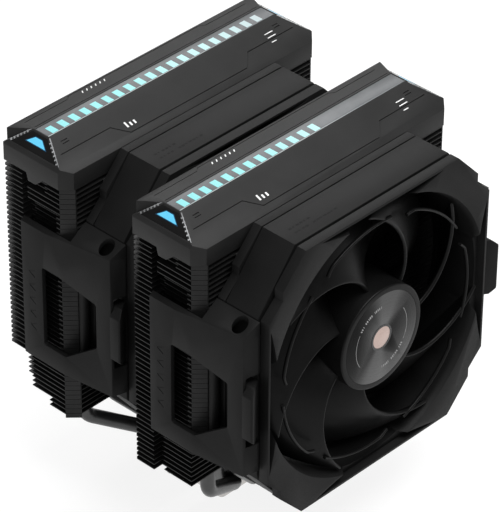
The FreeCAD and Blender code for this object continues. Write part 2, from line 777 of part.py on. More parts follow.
def spring_screw():
    ring_z = BAR_Z - 1.0
    head_z = BAR_Z + BAR_THICK + SPRING_LENGTH
    tip = rod_z(SCREW_TIP_RADIUS, ring_z - 2.0 - SCREW_TIP_LENGTH, ring_z - 2.0)
    shank = rod_z(SCREW_RADIUS, ring_z - 2.0, head_z)
    head = rod_z(SCREW_HEAD_RADIUS, head_z, head_z + SCREW_HEAD_HEIGHT)
    rim = [e for e in head.Edges if e.BoundBox.ZMin > head_z + SCREW_HEAD_HEIGHT - 0.01]
    head = head.makeChamfer(0.6, rim)
    screw = fuse_all([tip, shank, head])
    top = head_z + SCREW_HEAD_HEIGHT
    cross = [box(-2.4, 2.4, -0.5, 0.5, top - 2, top + 1)]
    cross.append(box(-0.5, 0.5, -2.4, 2.4, top - 2, top + 1))
    neck = rod_z(RING_RADIUS, ring_z - RING_THICK, ring_z)
    neck = neck.cut(rod_z(SCREW_RADIUS - 0.4, 0, 40))
    return screw.cut(cross + [neck])


def retaining_ring():
    ring_z = BAR_Z - 1.0
    ring = rod_z(RING_RADIUS, ring_z - RING_THICK + 0.05, ring_z - 0.05)
    ring = ring.cut(rod_z(SCREW_RADIUS - 0.4 + FIT_GAP, 0, 40))
    return ring.cut(box(-SCREW_RADIUS * 0.6, SCREW_RADIUS * 0.6, 0, 10, 0, 40))


def coil_spring():
    low = BAR_Z + BAR_THICK + SPRING_WIRE + 0.05
    height = SPRING_LENGTH - 2 * SPRING_WIRE - 0.1
    radius = SCREW_RADIUS + SPRING_WIRE + 0.5
    helix = Part.makeHelix(height / SPRING_TURNS, height, radius)
    ring = Part.makeCircle(SPRING_WIRE, V(radius, 0, 0), V(0, 1, 0))
    coil = Part.Wire(helix.Edges).makePipeShell([Part.Wire([ring])], True, True)
    return moved(coil, 0, 0, low)


# ---------------------------------------------------------------- fan brackets
# A bracket is drawn for the right side of a fan, in that fan's own place.

def bracket_body(inset):
    """The bracket's outer form, or its hollow when inset is the wall."""
    out = SIDE + BRACKET_OUT - inset
    nose = SIDE + BRACKET_NOSE - inset
    near = SIDE + CLEAR
    front_y = FLANGE_FRONT + 0.1 + inset
    plan = [(near, front_y), (nose, front_y + 1.8), (out, BEND_Y), (out, BACK_Y), (near, BACK_Y)]
    body = prism(plan, inset - BRACKET_BOTTOM, BRACKET_ROOF + 5)
    slope = V(TOP_SLOPE, 0, 1)
    slope.normalize()
    return clip(body, V(SIDE, 0, BRACKET_ROOF) - slope * inset, slope)


def bracket_shell():
    out = SIDE + BRACKET_OUT
    crease = V(out, BEND_Y, BRACKET_LEAN)
    nose = V(SIDE + BRACKET_NOSE, FLANGE_FRONT + 1.9, NOSE_LEAN)
    upper = V(out - 0.8, BEND_Y, BRACKET_LEAN + 10.4)
    normal = (upper - crease).cross(nose - crease)
    if normal.x < 0:
        normal = normal * -1
    shell = clip(bracket_body(0), crease, normal)
    wall_in = out - BRACKET_WALL
    tower_end = TOWER_FACE + TOWER_DEPTH
    beside_tower = box(SIDE - 1, wall_in, TOWER_FACE - 1.5, tower_end, -SIDE, SIDE)
    return shell.cut([bracket_body(BRACKET_WALL), beside_tower])


def bracket_window():
    back = BACK_Y - 10.8
    points = [(WINDOW_FRONT, WINDOW_NOSE_TOP), (BEND_Y + 1.0, WINDOW_TOP)]
    points += [(back, WINDOW_TOP), (back, -WINDOW_BOTTOM)]
    points += [(BEND_Y - 1.2, -WINDOW_BOTTOM), (WINDOW_FRONT, -WINDOW_NOSE_BOTTOM)]
    ring = [V(SIDE + 4.5, y, z) for y, z in points]
    face = Part.Face(Part.makePolygon(ring + ring[:1]))
    window = face.extrude(V(10, 0, 0))
    corners = [e for e in window.Edges if abs(e.BoundBox.XLength - 10) < 0.01]
    return window.makeFillet(1.2, corners)


def bracket():
    inner = FIN_HALF - SLOT_DEPTH + 1.2
    wall_in = SIDE + BRACKET_OUT - BRACKET_WALL
    lip_top = BRACKET_ROOF - TOP_SLOPE * BRACKET_OUT
    lip = box(inner, wall_in + 0.5, BACK_Y - LIP_THICK, BACK_Y, -BRACKET_BOTTOM, lip_top)
    post_y = TOWER_FACE - POST_RADIUS - CLEAR
    post = rod_z(POST_RADIUS, -WINDOW_BOTTOM, BRACKET_ROOF - 3.4, SIDE + POST_RADIUS + 0.6, post_y)
    tongue_y = FLANGE_FRONT + 0.25
    tongue = box(SIDE - TONGUE_REACH, SIDE + 1, tongue_y, tongue_y + TONGUE_THICK, -28, 30)
    shell = fuse_all([bracket_shell(), lip, post, tongue])
    hole = rod_z(CLIP_HOLE_RADIUS, BRACKET_ROOF - 12, SIDE, SIDE + CLIP_HOLE_X, CLIP_HOLE_Y)
    recess = box(SIDE - 3, SIDE + TAB_SEAT, 2, 8.7, -TAB_BOTTOM - 3.5, TAB_TOP + 3)
    return shell.cut([bracket_window(), hole, recess])


def clip_tab():
    """Finger tab that stands out of the bracket's front recess."""
    plan = [(SIDE + 0.5, 4.9), (SIDE + 7.6, 0.3), (SIDE + 8.3, 0.8), (SIDE + 8.3, 5.5)]
    plan += [(SIDE + TAB_SEAT, 5.5), (SIDE + TAB_SEAT, 8.3), (SIDE + 0.5, 8.3)]
    tab = prism(plan, -TAB_BOTTOM, TAB_TOP)
    for z, way in ((TAB_TOP, 1), (-TAB_BOTTOM, -1)):
        tab = clip(tab, V(SIDE + 8.3, 0, z - way * 3), V(1, 0, way))
    return tab


def fan_pads():
    """Rubber pads between the fan's rear flange and the tower."""
    half = PAD_SIDE / 2
    x = SIDE - FAN_CUT_X + half + 1.2
    pads = []
    for sx in (-1, 1):
        for sz in (-1, 1):
            pad = box(-half, half, FAN_DEPTH, TOWER_FACE, -half, half)
            pads.append(moved(pad, sx * x, 0, sz * x))
    return Part.makeCompound(pads)


# ---------------------------------------------------------------- writing the pieces

os.makedirs("parts", exist_ok=True)

pipes = [heat_pipe(k) for k in range(-PIPE_SIDE, PIPE_SIDE + 1)]
for number, pipe in enumerate(pipes, 1):
    save("heat_pipe_%d" % number, pipe)
save("cold_plate", cold_plate(pipes))
save("base_block", base_block(pipes))
save("mounting_bar", mounting_bar())
save("bar_screws", bar_screws())
for word, side in (("left", -1), ("right", 1)):
    x = side * SCREW_SPACING / 2
    save(word + "_spring_screw", moved(spring_screw(), x))
    save(word + "_retaining_ring", moved(retaining_ring(), x))
    save(word + "_coil_spring", moved(coil_spring(), x))

for word, tower_y in (("front", FRONT_TOWER_Y), ("rear", REAR_TOWER_Y)):
    save(word + "_fin_stack", fin_stack(tower_y, word == "front"))
    save(word + "_top_cover", moved(top_cover(), 0, tower_y))
    save(word + "_light_diffuser", moved(light_diffuser(), 0, tower_y))
    save(word + "_light_board", moved(light_board(), 0, tower_y))
    save(word + "_end_panels", moved(end_panels(), 0, tower_y))
    save(word + "_end_lenses", moved(end_lenses(), 0, tower_y))

fan_pieces = {
    "fan_frame": fan_frame(),
    "fan_rotor": rotor(),
    "hub_disc": hub_disc(),
    "hub_badge": hub_badge(),
    "motor_shaft": motor_shaft(),
    "motor_bearing": motor_bearing(),
    "motor_magnet": motor_magnet(),
    "motor_stator": motor_stator(),
    "motor_board": motor_board(),
    "fan_pads": fan_pads(),
    "right_bracket": bracket(),
    "right_clip_tab": clip_tab(),
}
fan_pieces["left_bracket"] = mirror_x(fan_pieces["right_bracket"])
fan_pieces["left_clip_tab"] = mirror_x(fan_pieces["right_clip_tab"])
for word, fan_y in (("front", FRONT_FAN_Y), ("middle", MIDDLE_FAN_Y)):
    for name, shape in fan_pieces.items():
        save(word + "_" + name, moved(shape, 0, fan_y, AXIS_Z))
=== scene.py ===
# %% [markdown]
# # A twin-tower processor cooler
# The real object is two stacks of black aluminium fins on heat pipes, with a lit plastic
# cover on each stack and two clip-on fans. The measured parts come from the engineering
# model, which is the fixed frame of this scene, so a piece is never moved to fit by eye.
# This lesson gives each part its moulded edges, its lights and its finish.

# %% Load the fixed frame
import bpy
import json
import math
from mathutils import Matrix, Vector

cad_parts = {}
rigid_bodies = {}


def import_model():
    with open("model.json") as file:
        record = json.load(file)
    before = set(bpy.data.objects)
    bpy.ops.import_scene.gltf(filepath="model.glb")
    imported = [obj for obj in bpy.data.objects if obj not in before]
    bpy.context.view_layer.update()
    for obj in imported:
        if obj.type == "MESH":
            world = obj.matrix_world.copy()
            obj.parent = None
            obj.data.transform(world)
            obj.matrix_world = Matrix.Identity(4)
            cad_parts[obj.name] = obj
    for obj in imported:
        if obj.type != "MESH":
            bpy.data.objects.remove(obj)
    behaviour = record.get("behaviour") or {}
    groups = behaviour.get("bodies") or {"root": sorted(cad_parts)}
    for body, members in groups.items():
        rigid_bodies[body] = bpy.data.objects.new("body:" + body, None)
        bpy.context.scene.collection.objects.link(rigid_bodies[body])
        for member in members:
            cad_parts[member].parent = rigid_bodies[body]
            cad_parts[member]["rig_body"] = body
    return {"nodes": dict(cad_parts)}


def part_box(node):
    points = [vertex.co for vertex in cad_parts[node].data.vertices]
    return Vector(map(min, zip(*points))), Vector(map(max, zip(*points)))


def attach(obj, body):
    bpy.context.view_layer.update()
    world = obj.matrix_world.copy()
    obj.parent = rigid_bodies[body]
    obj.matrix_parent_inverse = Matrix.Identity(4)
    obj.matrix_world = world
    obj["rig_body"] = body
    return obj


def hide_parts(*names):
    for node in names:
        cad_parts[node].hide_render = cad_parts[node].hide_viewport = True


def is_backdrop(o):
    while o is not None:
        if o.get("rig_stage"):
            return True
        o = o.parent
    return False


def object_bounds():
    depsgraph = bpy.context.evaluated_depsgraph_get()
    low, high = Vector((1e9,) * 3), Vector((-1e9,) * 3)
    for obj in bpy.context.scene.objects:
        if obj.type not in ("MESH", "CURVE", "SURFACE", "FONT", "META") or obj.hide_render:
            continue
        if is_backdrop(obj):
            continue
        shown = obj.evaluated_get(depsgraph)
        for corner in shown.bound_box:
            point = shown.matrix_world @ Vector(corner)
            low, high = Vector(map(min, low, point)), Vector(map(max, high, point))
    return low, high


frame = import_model()
cad_low, cad_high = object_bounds()
MM = 0.001
print("nodes:", len(frame["nodes"]), "box in mm:", [round(x / MM, 1) for x in cad_high - cad_low])

# %% [markdown]
# ## Places to build from
# Two covers and two fans repeat the same shapes one tower further back. Most places below
# are read from the frame's boxes. The rises and runs of the roof are written out, and so are
# the small marks further on, so a changed design needs those numbers changed too.

# %% Places read from the frame
FAN_Y = {word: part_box(word + "_fan_frame")[0].y for word in ("front", "middle")}
fan_low, fan_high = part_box("front_fan_frame")
AXIS_Z = (fan_low.z + fan_high.z) / 2
FAN_BODY = {"front": "front_rotor", "middle": "middle_rotor"}
COVER_Y = {word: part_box(word + "_top_cover")[0].y for word in ("front", "rear")}
cover_low, cover_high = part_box("front_top_cover")
RIDGE_Z = cover_high.z
COVER_HALF = cover_high.x
ROOF_RISE = 6.8 * MM
HIP_RUN = 6.8 * MM
HIP_DROP = 5.1 * MM
DECK_DROP = 1.6 * MM
DECK_FAR = cover_high.y - cover_low.y
RIM_Z = RIDGE_Z - ROOF_RISE
bar_low, bar_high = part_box("front_light_diffuser")
BAR_NEAR = bar_low.y - COVER_Y["front"]
BAR_FAR = bar_high.y - COVER_Y["front"]
RIDGE_NEAR = BAR_NEAR - 0.3 * MM
RIDGE_FAR = BAR_FAR + 0.8 * MM
RIDGE_HALF = bar_high.x + 0.4 * MM
print("fan axis at", round(AXIS_Z / MM, 2), "ridge at", round(RIDGE_Z / MM, 2))

# %% [markdown]
# ## Working habits
# Nearly every operator acts on what is selected, so each step first picks its one piece.
# A measured part arrives as loose triangles. A copy of it is merged, its flat triangles are
# dissolved into whole faces, and then a bevel modifier can round its real edges.

# %% Helpers for picking and shaping
def pick(piece):
    bpy.ops.object.select_all(action="DESELECT")
    piece.select_set(True)
    bpy.context.view_layer.objects.active = piece


def apply_modifier(piece, kind, **settings):
    pick(piece)
    modifier = piece.modifiers.new(kind.lower(), kind)
    for key, value in settings.items():
        setattr(modifier, key, value)
    bpy.ops.object.modifier_apply(modifier=modifier.name)


def bevel(piece, width, segments=2, angle=30):
    apply_modifier(piece, "BEVEL", width=width, segments=segments,
                   limit_method="ANGLE", angle_limit=math.radians(angle))


def smooth(piece, angle=32):
    pick(piece)
    bpy.ops.object.shade_smooth_by_angle(angle=math.radians(angle))


def face_outwards(piece):
    pick(piece)
    bpy.ops.object.mode_set(mode="EDIT")
    bpy.ops.mesh.select_all(action="SELECT")
    bpy.ops.mesh.remove_doubles(threshold=0.002 * MM)
    bpy.ops.mesh.normals_make_consistent(inside=False)
    bpy.ops.object.mode_set(mode="OBJECT")


def copy_node(node):
    """An editable copy of a measured part, made of whole faces."""
    source = frame["nodes"][node]
    piece = bpy.data.objects.new(node + "_shown", source.data.copy())
    bpy.context.scene.collection.objects.link(piece)
    pick(piece)
    if piece.data.has_custom_normals:
        bpy.ops.mesh.customdata_custom_splitnormals_clear()
    bpy.ops.object.mode_set(mode="EDIT")
    bpy.ops.mesh.select_all(action="SELECT")
    bpy.ops.mesh.remove_doubles(threshold=0.002 * MM)
    bpy.ops.mesh.dissolve_limited(angle_limit=math.radians(0.6))
    bpy.ops.object.mode_set(mode="OBJECT")
    return piece


def settle(piece, body, slot, *materials):
    """Gives a finished piece its finish, and lets it ride on its body."""
    piece.data.materials.clear()
    for material in materials:
        piece.data.materials.append(material)
    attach(piece, body)
    return piece


def body_of(node):
    return frame["nodes"][node]["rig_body"]


def join(pieces, name):
    pick(pieces[0])
    for piece in pieces[1:]:
        piece.select_set(True)
    if len(pieces) > 1:
        bpy.ops.object.join()
    whole = bpy.context.view_layer.objects.active
    whole.name = name
    return whole


# %% [markdown]
# ## Small blocks
# Grooves, light tiles and printed dashes are all small blocks between two points. One
# helper adds a cube, stretches it to size, turns it, and writes its place into its mesh.

# %% A block between two points
def block(start, end, width, height, up=Vector((0, 0, 1))):
    """A bar from start to end, its width across and its height along up."""
    along = end - start
    x_axis = along.normalized()
    y_axis = up.cross(x_axis).normalized()
    z_axis = x_axis.cross(y_axis)
    bpy.ops.object.select_all(action="DESELECT")
    bpy.ops.mesh.primitive_cube_add(size=1)
    piece = bpy.context.active_object
    turn = Matrix((x_axis, y_axis, z_axis)).transposed().to_4x4()
    size = Matrix.Diagonal((along.length, width, height, 1))
    piece.matrix_world = Matrix.Translation((start + end) / 2) @ turn @ size
    bpy.ops.object.transform_apply(location=True, rotation=True, scale=True)
    return piece


def cut(piece, tools):
    """Takes the tools' shapes out of a piece."""
    for tool in tools:
        apply_modifier(piece, "BOOLEAN", object=tool, operation="DIFFERENCE", solver="EXACT")
        bpy.data.objects.remove(tool)


# %% [markdown]
# ## Finishes
# Each finish is a Principled shader fed by noise in Object coordinates, so the pattern stays
# on the part when it moves. Three things vary: a slow change of colour, a change of
# roughness, and a fine bump at the scale of the real texture, such as spark grain.

# %% A helper for noise finishes
def new_material(name):
    material = bpy.data.materials.new(name)
    material.use_nodes = True
    tree = material.node_tree
    shader = tree.nodes["Principled BSDF"]
    place = tree.nodes.new("ShaderNodeTexCoord")
    return material, tree, shader, place


def noise(tree, vector, size, detail=3.0):
    node = tree.nodes.new("ShaderNodeTexNoise")
    node.inputs["Scale"].default_value = 1 / size
    node.inputs["Detail"].default_value = detail
    tree.links.new(vector, node.inputs["Vector"])
    return node.outputs["Fac"]


def ramp(tree, value, stops):
    node = tree.nodes.new("ShaderNodeValToRGB")
    while len(node.color_ramp.elements) < len(stops):
        node.color_ramp.elements.new(0.5)
    for element, (position, colour) in zip(node.color_ramp.elements, stops):
        element.position = position
        element.color = (*colour, 1)
    tree.links.new(value, node.inputs["Fac"])
    return node.outputs["Color"]


def to_range(tree, value, low, high):
    node = tree.nodes.new("ShaderNodeMapRange")
    node.inputs["From Min"].default_value = 0.3
    node.inputs["From Max"].default_value = 0.7
    node.inputs["To Min"].default_value = low
    node.inputs["To Max"].default_value = high
    tree.links.new(value, node.inputs["Value"])
    return node.outputs["Result"]


def bump(tree, shader, height, depth, strength=1.0):
    node = tree.nodes.new("ShaderNodeBump")
    node.inputs["Distance"].default_value = depth
    node.inputs["Strength"].default_value = strength
    tree.links.new(height, node.inputs["Height"])
    tree.links.new(node.outputs["Normal"], shader.inputs["Normal"])


def finish(name, dark, light, rough, grain, depth, metal=0.0, gloss=0.5, coat=0.0):
    """Colour from dark to light, roughness from a range, grain of a size and a depth."""
    material, tree, shader, place = new_material(name)
    slow = noise(tree, place.outputs["Object"], 14 * MM)
    fine = noise(tree, place.outputs["Object"], grain, 4.0)
    colour = ramp(tree, slow, [(0.3, dark), (0.7, light)])
    tree.links.new(colour, shader.inputs["Base Color"])
    tree.links.new(to_range(tree, fine, *rough), shader.inputs["Roughness"])
    bump(tree, shader, fine, depth)
    shader.inputs["Metallic"].default_value = metal
    shader.inputs["Specular IOR Level"].default_value = gloss
    shader.inputs["Coat Weight"].default_value = coat
    return material


def grey(value, tint=0.0):
    return (value, value * (1 + tint / 2), value * (1 + tint))


# %% Plastics and metals
COVER_BLACK = finish("cover_black", grey(0.010), grey(0.014), (0.42, 0.56), 0.25 * MM,
                     0.006 * MM, gloss=0.16)
FRAME_BLACK = finish("frame_black", grey(0.005), grey(0.007), (0.45, 0.60), 0.30 * MM,
                     0.008 * MM, gloss=0.11)
BRACKET_BLACK = finish("bracket_black", grey(0.005), grey(0.008), (0.50, 0.62), 0.22 * MM,
                       0.008 * MM, gloss=0.11)
BLADE_BLACK = finish("blade_black", grey(0.003), grey(0.005), (0.30, 0.44), 0.60 * MM,
                     0.010 * MM, gloss=0.10)
PANEL_GLOSS = finish("panel_gloss", grey(0.004), grey(0.006), (0.10, 0.18), 2.0 * MM,
                     0.002 * MM, gloss=0.12, coat=0.05)
FIN_BLACK = finish("fin_black", grey(0.010), grey(0.018), (0.34, 0.50), 0.8 * MM,
                   0.004 * MM, metal=0.4, gloss=0.2)
PIPE_BLACK = finish("pipe_black", grey(0.060), grey(0.085), (0.28, 0.42), 0.5 * MM,
                    0.004 * MM, metal=0.9)
PLATE_NICKEL = finish("plate_nickel", grey(0.50, -0.06), grey(0.60, -0.06), (0.22, 0.34),
                      0.15 * MM, 0.003 * MM, metal=1.0)
BLOCK_GREY = finish("block_grey", grey(0.10), grey(0.15), (0.34, 0.46), 0.4 * MM,
                    0.005 * MM, metal=0.9)
STEEL = finish("bright_steel", grey(0.42), grey(0.52), (0.20, 0.34), 0.3 * MM, 0.003 * MM,
               metal=1.0)
BRASS = finish("bearing_brass", (0.50, 0.33, 0.12), (0.60, 0.42, 0.18), (0.25, 0.4),
               0.4 * MM, 0.004 * MM, metal=1.0)
FERRITE = finish("magnet_ferrite", grey(0.03), grey(0.05), (0.55, 0.7), 0.3 * MM, 0.02 * MM)
BOARD = finish("board_resin", (0.006, 0.030, 0.020), (0.010, 0.045, 0.028), (0.3, 0.45),
               0.8 * MM, 0.01 * MM)
RUBBER = finish("pad_rubber", grey(0.012), grey(0.018), (0.7, 0.85), 0.4 * MM, 0.02 * MM,
                gloss=0.25)
COPPER = finish("badge_copper", (0.40, 0.30, 0.27), (0.50, 0.39, 0.35), (0.22, 0.36),
                0.25 * MM, 0.003 * MM, metal=1.0)
BAR_SMOKE = finish("bar_smoke", grey(0.070, 0.10), grey(0.100, 0.10), (0.28, 0.40),
                   1.0 * MM, 0.003 * MM, gloss=0.25)
CLEAR_EDGE = finish("clear_edge", grey(0.08, 0.04), grey(0.38, 0.04), (0.08, 0.18), 0.6 * MM,
                    0.02 * MM, coat=0.3)
PRINT_WHITE = finish("print_white", grey(0.55), grey(0.70), (0.4, 0.6), 0.3 * MM, 0.004 * MM)
PRINT_GREY = finish("print_grey", grey(0.20), grey(0.30), (0.4, 0.6), 0.3 * MM, 0.004 * MM)
PRINT_DARK = finish("print_dark", grey(0.002), grey(0.004), (0.5, 0.7), 0.3 * MM, 0.004 * MM,
                    gloss=0.1)
DARK_RING = finish("dark_ring", grey(0.004), grey(0.008), (0.2, 0.35), 0.4 * MM, 0.003 * MM)
print("plain finishes made:", len(bpy.data.materials))

# %% [markdown]
# ## Lights and the brushed disc
# The tiles glow aqua at the left and turn white towards the right. That is a ramp along X
# into the emission colour. The hub disc is turned metal: its fine rings stretch highlights
# into two bright wedges. Under light this even, an anisotropic shader with a radial tangent
# shows them only faintly, so they are drawn into the colour too, by a power of the cosine
# round the axle. A real highlight would stay still while the disc turns, and these don't.

# %% Glowing finishes, and the painted highlights of the bright edge and the brushed disc
def glow(name, stops, strength, half):
    material, tree, shader, place = new_material(name)
    split = tree.nodes.new("ShaderNodeSeparateXYZ")
    tree.links.new(place.outputs["Object"], split.inputs["Vector"])
    spread = tree.nodes.new("ShaderNodeMapRange")
    spread.inputs["From Min"].default_value = -half
    spread.inputs["From Max"].default_value = half
    tree.links.new(split.outputs["X"], spread.inputs["Value"])
    colour = ramp(tree, spread.outputs["Result"], stops)
    tree.links.new(colour, shader.inputs["Emission Color"])
    cloud = noise(tree, place.outputs["Object"], 1.2 * MM)
    body = ramp(tree, cloud, [(0.3, grey(0.020, 0.4)), (0.7, grey(0.035, 0.4))])
    tree.links.new(body, shader.inputs["Base Color"])
    shader.inputs["Specular IOR Level"].default_value = 0.2
    tree.links.new(to_range(tree, cloud, 0.25, 0.4), shader.inputs["Roughness"])
    bump(tree, shader, cloud, 0.01 * MM)
    shader.inputs["Emission Strength"].default_value = strength
    return material


TILE_GLOW = glow("tile_glow", [(0.0, (0.24, 0.80, 0.82)), (0.35, (0.34, 0.88, 0.86)),
                               (0.62, (0.56, 0.95, 0.94)), (1.0, (0.56, 0.62, 0.63))],
                 0.95, RIDGE_HALF)
LENS_GLOW = glow("lens_glow", [(0.0, (0.10, 0.58, 0.88)), (0.45, (0.16, 0.70, 0.93)),
                               (0.55, (0.16, 0.70, 0.93)), (1.0, (0.10, 0.58, 0.88))],
                 1.05, COVER_HALF)
LENS_RIM = finish("lens_rim", (0.004, 0.03, 0.07), (0.006, 0.05, 0.11), (0.1, 0.2), 1.0 * MM,
                  0.003 * MM, coat=0.5)
# The bar's bright front edge is a painted highlight: emission standing for the glint of the clear
# edge, brightest at the left and fading to grey at the right.
PAINTED_EDGE_HIGHLIGHT = glow("painted_edge_highlight", [(0.0, (0.85, 0.97, 0.97)), (0.55, (0.9, 0.95, 0.95)),
                               (0.8, (0.35, 0.37, 0.38)), (1.0, (0.16, 0.17, 0.17))],
                 0.55, RIDGE_HALF)


HIGHLIGHT_WEDGE_LEAN = math.radians(13)
HIGHLIGHT_WEDGE_POWER = 3.5
RING_SHARE = 0.35


def maths(tree, operation, *values):
    """A math node, whose values are sockets or plain numbers."""
    node = tree.nodes.new("ShaderNodeMath")
    node.operation = operation
    for socket, value in zip(node.inputs, values):
        if isinstance(value, bpy.types.NodeSocket):
            tree.links.new(value, socket)
        else:
            socket.default_value = value
    return node.outputs["Value"]


def painted_highlight_wedges(tree, vector):
    """A painted highlight: one along the leaning line through the axle, and nought across it."""
    unit = tree.nodes.new("ShaderNodeVectorMath")
    unit.operation = "NORMALIZE"
    tree.links.new(vector, unit.inputs[0])
    lean = tree.nodes.new("ShaderNodeVectorMath")
    lean.operation = "DOT_PRODUCT"
    lean.inputs[1].default_value = (math.sin(HIGHLIGHT_WEDGE_LEAN), 0, math.cos(HIGHLIGHT_WEDGE_LEAN))
    tree.links.new(unit.outputs["Vector"], lean.inputs[0])
    share = lean.outputs["Value"]
    return maths(tree, "POWER", maths(tree, "MULTIPLY", share, share), HIGHLIGHT_WEDGE_POWER)


def brushed_with_painted_highlight(name):
    material, tree, shader, place = new_material(name)
    centre = tree.nodes.new("ShaderNodeMapping")
    centre.inputs["Location"].default_value = (0, 0, -AXIS_Z)
    centre.inputs["Scale"].default_value = (1, 0, 1)
    tree.links.new(place.outputs["Object"], centre.inputs["Vector"])
    radius = tree.nodes.new("ShaderNodeVectorMath")
    radius.operation = "LENGTH"
    tree.links.new(centre.outputs["Vector"], radius.inputs[0])
    rings = tree.nodes.new("ShaderNodeTexNoise")
    rings.noise_dimensions = "1D"
    rings.inputs["Scale"].default_value = 1 / (0.18 * MM)
    rings.inputs["Detail"].default_value = 5
    tree.links.new(radius.outputs["Value"], rings.inputs["W"])
    # The two bright wedges are a painted highlight, mixed with the real rings into the base
    # colour.
    painted_wedge = painted_highlight_wedges(tree, centre.outputs["Vector"])
    mixed = maths(tree, "MULTIPLY_ADD", rings.outputs["Fac"], RING_SHARE, painted_wedge)
    colour = ramp(tree, mixed, [(0.12, grey(0.006)), (0.5, grey(0.030)), (1.0, grey(0.085))])
    tree.links.new(colour, shader.inputs["Base Color"])
    tree.links.new(to_range(tree, rings.outputs["Fac"], 0.24, 0.36),
                   shader.inputs["Roughness"])
    bump(tree, shader, rings.outputs["Fac"], 0.004 * MM)
    tangent = tree.nodes.new("ShaderNodeTangent")
    tangent.direction_type = "RADIAL"
    tangent.axis = "Y"
    tree.links.new(tangent.outputs["Tangent"], shader.inputs["Tangent"])
    shader.inputs["Metallic"].default_value = 1.0
    shader.inputs["Anisotropic"].default_value = 0.85
    return material


DISC_METAL = brushed_with_painted_highlight("disc_metal")
print("all finishes made:", len(bpy.data.materials))

# %% [markdown]
# ## The parts that keep their measured shape
# Fins, motor parts and boards are right as they are, so they only get a better finish.
# Assigning to a node's own material list changes nothing in its mesh.

# %% Dress the measured nodes
PLAIN = {
    "fin_stack": FIN_BLACK, "light_board": BOARD, "motor_shaft": STEEL,
    "motor_bearing": BRASS, "motor_magnet": FERRITE, "motor_stator": STEEL,
    "motor_board": BOARD, "coil_spring": STEEL, "light_diffuser": BAR_SMOKE,
}
for node, part in frame["nodes"].items():
    for ending, material in PLAIN.items():
        if node.endswith(ending):
            part.data.materials.clear()
            part.data.materials.append(material)

# %% [markdown]
# ## Parts with moulded edges
# A moulded or machined edge is never perfectly sharp, and its small round catches the light.
# Each of these parts is a merged copy with a bevel of its own width, which stands for the
# measured node.

# %% Bevel the plain parts
def dress(node, width, material, slot, angle=30, rounding=32):
    piece = copy_node(node)
    if width:
        bevel(piece, width, 2, angle)
    smooth(piece, rounding)
    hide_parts(node)
    return settle(piece, body_of(node), slot, material)


for number in range(1, 8):
    dress("heat_pipe_%d" % number, 0, PIPE_BLACK, "pipe_metal")
dress("cold_plate", 0.25 * MM, PLATE_NICKEL, "plate_metal")
dress("base_block", 0.3 * MM, BLOCK_GREY, "block_metal")
dress("mounting_bar", 0.3 * MM, STEEL, "bar_steel")
dress("bar_screws", 0.12 * MM, STEEL, "screw_steel")
for side in ("left", "right"):
    dress(side + "_spring_screw", 0.15 * MM, STEEL, "screw_steel")
    dress(side + "_retaining_ring", 0.1 * MM, STEEL, "ring_steel")
    for word in ("front", "middle"):
        dress("%s_%s_clip_tab" % (word, side), 0.5 * MM, BRACKET_BLACK, "tab_plastic")
for word in ("front", "middle"):
    dress(word + "_fan_pads", 0.4 * MM, RUBBER, "pad_rubber")

# %% [markdown]
# ## Fan frames and brackets
# The frames and brackets are moulded in matt black. Their edges are rounded by about a third
# of a millimetre. The fan's top face carries two small rows of printed dashes, which mark
# where a maker would print a type plate. Each bracket has a column of chevrons cut into it.

# %% Frames with dashes on top
FRAME_EDGE = 0.3 * MM
DASH_X = -36 * MM
DASH_Y = 10.5 * MM
DASH_ROW = 3 * MM
DASH_STEP = 1.9 * MM
DASH_LONG = 1.3 * MM
DASH_WIDTH = 0.9 * MM
DASH_THICK = 0.06 * MM


def dashes(start, count, skip=()):
    """A row of short raised dashes along X, every third one shorter."""
    along = Vector((1, 0, 0))
    row = []
    for k in range(count):
        if k in skip:
            continue
        share = 0.55 if k % 3 == 1 else 1.0
        here = start + along * DASH_STEP * k
        row.append(block(here, here + along * DASH_LONG * share, DASH_WIDTH, DASH_THICK))
    return row


for word in ("front", "middle"):
    dress(word + "_fan_frame", FRAME_EDGE, FRAME_BLACK, "frame_plastic")
    first = Vector((DASH_X, FAN_Y[word] + DASH_Y, fan_high.z))
    second = first + Vector((0, DASH_ROW, 0))
    marks = join(dashes(first, 12, skip=(4,)) + dashes(second, 6), word + "_frame_dashes")
    settle(marks, "root", "frame_plastic", PRINT_DARK)

# %% Brackets with engraved chevrons
BRACKET_EDGE = 0.35 * MM
CHEVRON_COUNT = 5
CHEVRON_TOP = 8 * MM
CHEVRON_STEP = 6.2 * MM
CHEVRON_INSET = 5.4 * MM
CHEVRON_HALF = 1.5 * MM
CHEVRON_SPREAD = 1.7 * MM
CHEVRON_WIDTH = 0.5 * MM
CHEVRON_DEEP = 0.24 * MM
for word in ("front", "middle"):
    for side, sign in (("left", -1), ("right", 1)):
        node = "%s_%s_bracket" % (word, side)
        bracket = dress(node, BRACKET_EDGE, BRACKET_BLACK, "bracket_plastic")
        low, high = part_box(node)
        face = sign * (high.x if sign > 0 else -low.x)
        y = high.y - CHEVRON_INSET
        across = Vector((sign, 0, 0))
        arms = []
        for k in range(CHEVRON_COUNT):
            z = AXIS_Z + CHEVRON_TOP - CHEVRON_STEP * k
            tip = Vector((face, y + CHEVRON_HALF, z))
            for way in (-1, 1):
                tail = Vector((face, y - CHEVRON_HALF, z + way * CHEVRON_SPREAD))
                arms.append(block(tip, tail, CHEVRON_WIDTH, CHEVRON_DEEP, across))
        cut(bracket, arms)
        smooth(bracket, 32)

# %% [markdown]
# ## Top covers
# Each cover is a low hipped roof whose rear half is nearly flat. Panel lines run along both
# halves: thin blocks laid on the roof are taken out of the moulding with an exact boolean.
# The edges are bevelled first, because a bevel over such narrow grooves would close them up.

# %% Cut the panel lines
GROOVE = 0.35 * MM
GROOVE_BLOCK = 0.7 * MM
VENT_HALF = 1.4
COVER_EDGE = 0.3 * MM


